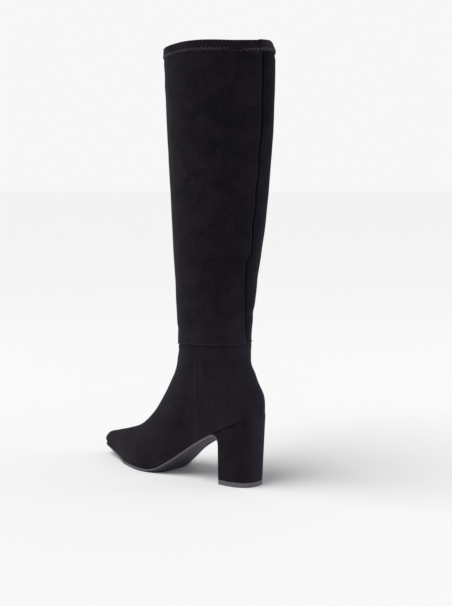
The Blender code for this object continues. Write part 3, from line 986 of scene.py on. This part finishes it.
class BOOT_OT_foot_panels(bpy.types.Operator):
    """Makes the vamp and the two quarters that meet it at the side seams"""

    bl_idname = "boot.foot_panels"
    bl_label = "Vamp and quarters"

    def execute(self, context):
        def lift(edge):
            sunk = tucked(edge["top"], 2.6, 0.7) + raised(edge["bottom"], 2.6, 0.35)
            small = puckered(edge, "end", "bottom", 5.8, 0.06)
            return sunk + small + puckered(edge, "start", "bottom", 5.8, 0.06)

        def vamp_lift(edge):
            ridges = raised(edge["start"], 2.8, 0.5) + raised(edge["end"], 2.8, 0.5)
            doubled = raised(edge["start"] - 4.6, 0.9, 0.3) + raised(edge["end"] - 4.6, 0.9, 0.3)
            return lift(edge) + ridges + doubled * (1 - ramp(edge["top"], 12, 14))

        def quarter_lift(seam):
            return lambda edge: lift(edge) + tucked(edge[seam], 1.5, 0.9) + raised(edge[seam], 5.0, 0.25)

        def vamp_edge_wear_and_highlight(edge):
            # Pale along the side seams: edge wear and painted highlight.
            return 0.55 * (near(edge["start"], 1.2) + near(edge["end"], 1.2))

        def quarter_wear_and_painted_light(seam):
            # Pale along the back seam: edge wear and painted highlight. Broadly paler towards the back:
            # painted light, where light from behind would fall.
            return lambda edge: 0.5 * near(edge[seam], 1.2) + 0.9 * near(edge[seam], 48.0)

        vamp = shifted(inner_seam, -0.6), shifted(outer_seam, 0.6)
        outer = shifted(outer_seam, 0.1), shifted(back_seam, -0.3)
        inner = shifted(back_seam, 0.3), lambda level: 1 + inner_seam(level) - 0.0004
        cuts = (
            ("vamp", vamp, 132, vamp_lift, vamp_edge_wear_and_highlight),
            ("quarter_outer", outer, 52, quarter_lift("start"), quarter_wear_and_painted_light("end")),
            ("quarter_inner", inner, 52, quarter_lift("end"), quarter_wear_and_painted_light("start")),
        )
        levels = evenly(0.0), lambda turn: ankle_seam(turn) - 0.0015
        look = "suede", "black_suede", "upper"
        for name, sides, across, shape, wear_and_painted_light in cuts:
            panel(context, name, sides, levels, (across, 84), shape, wear_and_painted_light, look)
        return {"FINISHED"}


class BOOT_OT_collar(bpy.types.Operator):
    """Makes the elastic tape folded over the collar and the zigzag that holds it"""

    bl_idname = "boot.collar"
    bl_label = "Collar tape and zigzag"

    def execute(self, context):
        sizes = context.scene.boot_sizes
        height = sizes.band_height / MM
        fold = (TAPE_OUTER - TAPE_INNER) / 2
        bm = bmesh.new()
        u, v = grid_of(bm, 190, 26)
        turn = tape_end() + u * (1 + OVERLAP)
        leg = (height - fold) * np.clip(np.abs(2 * v - 1) - FOLDED_SHARE, 0, 1) / (1 - FOLDED_SHARE)
        angle = np.pi * np.clip((v - 0.5) / FOLDED_SHARE + 0.5, 0, 1)
        drop = leg + fold * (1 - np.sin(angle))
        lift = (TAPE_OUTER + TAPE_INNER) / 2 + fold * np.cos(angle)
        lift = lift + tape_offset(turn, drop, height) - TAPE_STEP * tape_step(turn) * (u > 0.5)
        points = placed(turn, collar_level(drop), lift)
        points[..., 2] += collar_rise(turn) + 0.5 * tape_step(turn) * (u < 0.5) * (1 - drop / height)
        flat = SKIN.read(SKIN.points, turn, np.full(turn.shape, 2.0))
        put(bm, points)
        # Painted light: the tape is painted paler round the back seam.
        paint(bm, "painted_light_and_wear", near(turn % 1 - TAPE_PAINTED_PALEST_AT, 0.07))
        lay_cloth_map(bm, lengths_along(flat, 1), lengths_along(points, 0))
        bmesh.ops.recalc_face_normals(bm, faces=bm.faces)
        tape = piece_from(context, bm, "collar_tape", "elastic", "grey_elastic", "collar_band")
        add_wall(tape, sizes.tape_wall / MM, 0.0)
        add_rounding(tape, 0.22, 2)

        count = round(GIRTH_AT_COLLAR / (sizes.zigzag_pitch / MM))
        step = 1 / (2 * count)
        low = height - ZIGZAG_ABOVE_EDGE + sizes.zigzag_height / MM / 2
        high = low - sizes.zigzag_height / MM
        for kind, drops, width in (("down", (high, low), 1.0), ("up", (low, high), 0.75)):
            stitches = []
            for index in range(count):
                start = tape_end() + 2 * index * step + (kind == "up") * step
                ends = []
                for share, drop_here in zip((0.02, 0.98), drops):
                    at = np.array([start + share * step])
                    on_tape = smoothstep((height + 0.6 - drop_here) / 1.4)
                    stand = tape_offset(at, np.array([min(drop_here, height)]), height)
                    stand += 0.3 + 0.85 * on_tape - 0.42 * near(at % 1 - ZIGZAG_SUNK_AT, 0.035)
                    point = placed(at, np.array([collar_level(drop_here)]), stand)[0]
                    ends.append(point + (0, 0, collar_rise(at)[0]))
                stitches.append(ends)
            look = "tape_thread", "grey_elastic"
            thread_stitches(context, "collar_zigzag_" + kind, stitches, width, *look)
        return {"FINISHED"}


class BOOT_OT_seam_stitches(bpy.types.Operator):
    """Makes the row of small stitches above the ankle seam"""

    bl_idname = "boot.seam_stitches"
    bl_label = "Ankle stitching"

    def execute(self, context):
        count = round(float(girth_at(ANKLE_HEIGHT)) / (context.scene.boot_sizes.hem_pitch / MM))
        ends = []
        for index in range(count):
            turns = (index + np.array([0.14, 0.86])) / count
            level = ankle_seam(turns) + 1.5 / SHAFT_LENGTH
            ends.append(placed(turns, level, 0.42))
        thread_stitches(context, "ankle_stitching", ends, 0.75, "seam_thread", "black_suede")
        return {"FINISHED"}


class BOOT_OT_lining(bpy.types.Operator):
    """Makes the lining inside the shaft and the foot"""

    bl_idname = "boot.lining"
    bl_label = "Lining"

    def execute(self, context):
        sizes = context.scene.boot_sizes
        bm = bmesh.new()
        u, v = grid_of(bm, 120, 150)
        level = 0.03 + (collar_level(4.0) - 0.03) * v
        deep = -(sizes.cloth_wall / MM + 0.55) - 0.7 * (1 - ramp(level, 0.9, 0.1))
        flat = SKIN.read(SKIN.points, u, level)
        put(bm, placed(u, level, deep))
        lay_cloth_map(bm, lengths_along(flat, 1), lengths_along(flat, 0))
        weld(bm, close=False)
        add_wall(piece_from(context, bm, "boot_lining", "lining", "lining"), sizes.lining_wall / MM)
        return {"FINISHED"}


def sole_half(x, outward):
    """y of the feather edge, on one side."""
    return side_point(x.ravel(), feather_height(x).ravel(), np.full(x.size, outward)).reshape(x.shape)


class BOOT_OT_insole(bpy.types.Operator):
    """Makes the insole with its soft rounded edge and sunken heel"""

    bl_idname = "boot.insole"
    bl_label = "Insole"

    def execute(self, context):
        bm = bmesh.new()
        u, v = grid_of(bm, 24, 110)
        start, end = BACK_LINE[0][0], FRONT_LINE[0][0]
        x = start + (end - start) * (1 - np.cos(v * np.pi)) / 2
        z = feather_height(x)
        outer, inner = sole_half(x, 1.0), sole_half(x, -1.0)
        half = np.maximum((outer - inner) / 2 - INSOLE_INSET, 0.0)
        across = 2 * u - 1
        x = np.clip(x, start + INSOLE_INSET, end - INSOLE_INSET)
        y = (outer + inner) / 2 + half * across
        cup = 0.9 * across**2 * near(x - 20, 40)
        put(bm, np.stack([x, y, z + INSOLE_TOP - 0.9 + cup], axis=-1))
        lay_cloth_map(bm, y, x)
        weld(bm, close=False)
        if sum(face.normal.z for face in bm.faces) < 0:
            bmesh.ops.reverse_faces(bm, faces=bm.faces)
        piece = piece_from(context, bm, "insole_sock", "insole", "lining", "insole")
        add_wall(piece, 2.0)
        add_rounding(piece, 0.6)
        return {"FINISHED"}


def lip_thickness(angle):
    """The sole runs on round the fillet of the heel's breast and thins away. angle is 0 at the breast."""
    return (SOLE_THICKNESS - GAP) * (angle / (np.pi / 2)) ** 0.7


def sole_section(u):
    """Loop round the sole's section: place across, share of the thickness, and bulge of the edge."""
    zones = [u < 0.2, u < 0.35, u < 0.85]  # top, outer edge and underside; the rest is the inner edge
    turned = np.select(zones, [0 * u, (u - 0.2) / 0.15, 0 * u], (u - 0.85) / 0.15)
    across = np.select(zones, [10 * u - 1, 1 + 0 * u, 1 - 4 * (u - 0.35)], -1 + 0 * u)
    eased = (1 - np.cos(np.pi * turned)) / 2
    down = np.select(zones, [0 * u, eased, 1 + 0 * u], 1 - eased)
    return across, down, np.sin(np.pi * turned)


def belly(x, across, height):
    """How far the sole's middle hangs below its edges, where its underside stands at some height."""
    hang = SOLE_BELLY * ramp(x, 94, 30) * (1 - ramp(x, 165, 25)) * (1 - across**4)
    return np.minimum(hang, np.maximum(height - PAD_HEIGHT, 0))


def sole_body(bm, around, along, end):
    """The sole as one closed form, from the toe's tip to the end of its lip on the heel's breast."""
    lip_share = 0.12
    u, v = grid_of(bm, around, along)
    flat = np.clip(v / (1 - lip_share), 0, 1)
    angle = np.pi / 2 * (1 - 0.96 * np.clip((v - 1 + lip_share) / lip_share, 0, 1))
    x = LIP_X + (end - LIP_X) * np.cos(flat * np.pi / 2)
    z = feather_height(x)
    on_lip = v > 1 - lip_share
    out = -np.cos(angle) * on_lip, np.where(on_lip, np.sin(angle), 1.0)
    thickness = np.where(on_lip, lip_thickness(angle), sole_thickness(x) - GAP)
    under_x = np.where(on_lip, LIP_X + BREAST_FILLET * out[0], x)
    under_z = np.where(on_lip, FILLET_BASE + BREAST_FILLET * out[1], z - sole_thickness(x))
    edge_round = 1.0 - 0.6 * ramp(x, 150, 80)
    flare = 0.5 * ramp(x, 105, 40) + 0.5 * ramp(x, 205, 25)
    outer, inner = sole_half(x, 1.0) + flare, sole_half(x, -1.0) - flare
    on_heel = smoothstep((np.pi / 2 - angle) / 0.7)
    heel_half = HEEL_HALF_WIDTH_BOTTOM + HEEL_WIDENS * under_z / SEAT_HEIGHT
    middle = (outer + inner) / 2 * (1 - on_heel)
    half = (outer - inner) / 2 * (1 - on_heel) + (heel_half + 0.2) * on_heel
    across, down, bulge = sole_section(u)
    y = middle + across * np.maximum(half - edge_round, 0)
    y += np.sign(across) * bulge * np.minimum(edge_round, half)
    bevel = WAIST_BEVEL * near(x - WAIST_X, 26) * ramp(-across, 0.1, 0.9)
    rise = np.maximum(thickness * (1 - down), np.minimum(bevel, 0.6 * thickness) * down)
    under_z = under_z - down * belly(x, across, under_z)
    put(bm, np.stack([under_x + out[0] * rise, y, under_z + out[1] * rise], axis=-1))
    # The underside is darkened from the waist forwards, most where it faces the floor.
    paint(bm, "underside_darkening", ramp(x, 84, 40) * ramp(down, 0.5, 0.35))
    bm.verts.index_update()
    for face in bm.faces:
        share = (min(vert.index % (around + 1) for vert in face.verts) + 0.5) / around
        on_edge = 0.2 < share < 0.31 or share > 0.89
        face.material_index = int(on_edge)
    weld(bm)


class BOOT_OT_outsole(bpy.types.Operator):
    """Makes the outsole with its rounded edge, and the tread pads under the ball"""

    bl_idname = "boot.outsole"
    bl_label = "Outsole and tread"

    def execute(self, context):
        bm = bmesh.new()
        sole_body(bm, 100, 170, FRONT_LINE[0][0])
        sheet = piece_from(context, bm, "outsole_sheet", "sole", "outsole_rubber", "outsole")
        sheet.data.materials.append(finish_named("sole_edge", context))

        bm = bmesh.new()
        u, v = grid_of(bm, 13, context.scene.boot_sizes.tread_rows)
        x = PADS_START + 4 + (PADS_END - PADS_START - 4) * v
        outer, inner = sole_half(x, 1.0) - PADS_INSET, sole_half(x, -1.0) + PADS_INSET
        y = inner + (outer - inner) * u
        bent = x + 2.4 * np.cos(3 * np.pi * u)
        height = feather_height(x) - sole_thickness(x)
        put(bm, np.stack([bent, y, height - belly(x, 2 * u - 1, height)], axis=-1))
        if sum(face.normal.z for face in bm.faces) > 0:
            bmesh.ops.reverse_faces(bm, faces=bm.faces)
        bm.normal_update()
        pads = bmesh.ops.inset_individual(bm, faces=bm.faces, thickness=0.32 * MM, depth=0.0)
        slopes = set(pads["faces"])
        lifted = {vert for face in bm.faces if face not in slopes for vert in face.verts}
        bmesh.ops.translate(bm, verts=list(lifted), vec=(0, 0, -(PAD_HEIGHT - 0.02) * MM))
        tread = piece_from(context, bm, "outsole_tread", "sole", "outsole_rubber")
        add_wall(tread, 0.3)
        tread.data.shade_flat()
        return {"FINISHED"}


def breast_at(height):
    """x of the heel's front face. Above the breast it runs out under the sole's lip."""
    angle = np.linspace(0, np.pi / 2, 60)
    reach = BREAST_FILLET + lip_thickness(angle)
    x = np.concatenate([[HEEL_BREAST_BOTTOM], LIP_X - reach * np.cos(angle)])
    z = np.concatenate([[0.0], FILLET_BASE + reach * np.sin(angle)])
    return np.interp(height, z, x)


def heel_plan(share, half, back, breast):
    """Place on the heel's D-shaped plan, from its outer front corner round the back to the front."""
    straight, round_end = 0.14, 0.72
    meeting = back + (HEEL_BREAST_TOP - HEEL_BACK_TOP) * HEEL_ROUND_SHARE
    angle = np.pi / 2 - np.pi * (share - straight) / (round_end - straight)
    power = 2 / HEEL_CORNER_POWER
    bend_x = back + (meeting - back) * (1 - np.abs(np.cos(angle)) ** power)
    bend_y = half * np.sign(angle) * np.abs(np.sin(angle)) ** power
    outer_x = breast + (meeting - breast) * share / straight
    inner_x = meeting + (breast - meeting) * (share - round_end) / straight
    front_y = half * (2 * (share - round_end - straight) / straight - 1)
    zones = [share < straight, share < round_end, share < round_end + straight]
    x = np.select(zones, [outer_x, bend_x, inner_x], breast)
    y = np.select(zones, [half, bend_y, -half], front_y)
    return x, y


def heel_loft(context, low, up, top, *look):
    """Closed stretch of the heel, from one height up to a level top, or to the seat where top is None."""
    bm = bmesh.new()
    u, v = grid_of(bm, 100, up)
    top_x, _ = heel_plan(u, HEEL_HALF_WIDTH_TOP, HEEL_BACK_TOP, LIP_X)
    ends = feather_height(top_x) - GAP if top is None else top
    z = low + (ends - low) * (1 - (1 - v) ** 1.6)
    depth = 1 - z / SEAT_HEIGHT
    half = HEEL_HALF_WIDTH_TOP - HEEL_WIDENS * depth
    back = HEEL_BACK_TOP + (HEEL_BACK_BOTTOM - HEEL_BACK_TOP) * depth
    x, y = heel_plan(u, half, back, breast_at(z))
    put(bm, np.stack([x, y, z], axis=-1))
    # Painted highlight: the heel cover is paler round its back, more so towards the inner side, where light
    # from behind would fall.
    painted_back_highlight = ramp(u, 0.24, 0.26) * (1 - ramp(u, 0.60, 0.10))
    paint(bm, "painted_light_and_wear", (1.9 + u) * painted_back_highlight)
    weld(bm)
    add_rounding(piece_from(context, bm, *look), 0.6, 3, 40.0)


class BOOT_OT_heel(bpy.types.Operator):
    """Makes the block heel in its suede cover"""

    bl_idname = "boot.heel"
    bl_label = "Covered heel"

    def execute(self, context):
        look = "heel", "heel_cover", "heel_block"
        heel_loft(context, TOP_PIECE_HEIGHT + GAP, 70, None, "heel_cover", *look)
        return {"FINISHED"}


class BOOT_OT_top_piece(bpy.types.Operator):
    """Makes the heel's rubber top piece"""

    bl_idname = "boot.top_piece"
    bl_label = "Heel top piece"

    def execute(self, context):
        look = "top_piece", "top_piece", "heel_top_piece"
        heel_loft(context, 0.0, 6, TOP_PIECE_HEIGHT, "top_piece", *look)
        return {"FINISHED"}


def add_light(kind, name, energy, direction, **settings):
    """A light that shines in some direction."""
    data = bpy.data.lights.new(name, kind)
    data.energy = energy
    for key, value in settings.items():
        setattr(data, key, value)
    lamp = bpy.data.objects.new(name, data)
    lamp.rotation_euler = direction.to_track_quat("-Z", "Y").to_euler()
    bpy.context.scene.collection.objects.link(lamp)
    return lamp


class BOOT_OT_stage(bpy.types.Operator):
    """Makes the floor, the lights and the camera"""

    bl_idname = "boot.stage"
    bl_label = "Stage"

    def execute(self, context):
        scene = context.scene
        stage = scene.boot_stage
        bm = bmesh.new()
        bmesh.ops.create_circle(bm, cap_ends=True, cap_tris=False, segments=96, radius=60.0)
        material, tree, shader, place = new_material("pale_floor", {"Specular IOR Level": 0.1})
        shade = stage.floor_shade
        soft = noise_of(tree, place["Object"], 3.0, 2.0, 0.5)
        colour_out = blended(tree, soft, (shade * 0.995,) * 3 + (1,), (shade,) * 3 + (1,))
        feed(tree, shader, colour_out, spread(tree, soft, 0, 1, 0.85, 0.95))
        floor = object_from(bm, "floor", material)

        world = bpy.data.worlds.new("studio")
        world.use_nodes = True
        tree = world.node_tree
        seen = tree.nodes.new("ShaderNodeLightPath").outputs["Is Camera Ray"]
        strength = spread(tree, seen, 0.0, 1.0, stage.surround, stage.backdrop)
        filled(tree, tree.nodes["Background"], {"Strength": strength, "Color": (1.0, 1.0, 1.0, 1.0)})
        scene.world = world
        scene.view_settings.view_transform = "Standard"

        down = Vector((-0.3, -0.6, -1.0))
        add_light("SUN", "overhead", stage.overhead, down, angle=stage.overhead_spread)
        middle = Vector((0.0, 0.0, 0.22))
        rims = (
            ("front_rim", (1.9, 0.6, 0.4), stage.front_rim, (0.93, 0.88, 1.0)),
            ("back_rim", (-1.5, -1.5, 0.3), stage.back_rim, (0.86, 0.83, 1.0)),
        )
        for name, place, power, tint in rims:
            lamp = add_light("AREA", name, power, middle - Vector(place), size=0.9, color=tint)
            lamp.location = place

        camera = bpy.data.objects.new("camera", bpy.data.cameras.new("camera"))
        turn = stage.camera_turn
        foot = Vector((60 - MIDDLE_X, 0, 0)) * MM
        away = Vector((-np.sin(turn), np.cos(turn), 0))
        camera.location = foot + away * stage.camera_distance + Vector((0, 0, stage.camera_height))
        look = Matrix.Rotation(-stage.camera_left, 3, "Z") @ -away
        look = look * np.cos(stage.camera_down) - Vector((0, 0, np.sin(stage.camera_down)))
        camera.rotation_euler = look.to_track_quat("-Z", "Y").to_euler()
        camera.data.lens = stage.lens
        camera.data.sensor_width = 36.0
        scene.collection.objects.link(camera)
        scene.camera = camera
        return {"FINISHED"}


OPERATORS = (
    BOOT_OT_stage,
    BOOT_OT_outer_panel,
    BOOT_OT_stretch_panel,
    BOOT_OT_foot_panels,
    BOOT_OT_collar,
    BOOT_OT_seam_stitches,
    BOOT_OT_lining,
    BOOT_OT_insole,
    BOOT_OT_outsole,
    BOOT_OT_heel,
    BOOT_OT_top_piece,
)


class BOOT_PT_sidebar(bpy.types.Panel):
    bl_idname = "BOOT_PT_sidebar"
    bl_label = "Knee-high boot"
    bl_space_type = "VIEW_3D"
    bl_region_type = "UI"
    bl_category = "Boot"

    def draw(self, context):
        for operator in OPERATORS:
            self.layout.operator(operator.bl_idname)
        for group in (context.scene.boot_sizes, context.scene.boot_colours, context.scene.boot_stage):
            box = self.layout.box()
            for name in group.__annotations__:
                box.prop(group, name)


GROUPS = {"boot_sizes": BootSizes, "boot_colours": BootColours, "boot_stage": StageSettings}
CLASSES = (*GROUPS.values(), *OPERATORS, BOOT_PT_sidebar)


def register():
    for made in CLASSES:
        bpy.utils.register_class(made)
    for name, group in GROUPS.items():
        setattr(bpy.types.Scene, name, PointerProperty(type=group))


def unregister():
    for name in GROUPS:
        delattr(bpy.types.Scene, name)
    for made in reversed(CLASSES):
        bpy.utils.unregister_class(made)


def main():
    register()
    for operator in OPERATORS:
        module, name = operator.bl_idname.split(".")
        getattr(getattr(bpy.ops, module), name)()


if __name__ == "__main__":
    main()
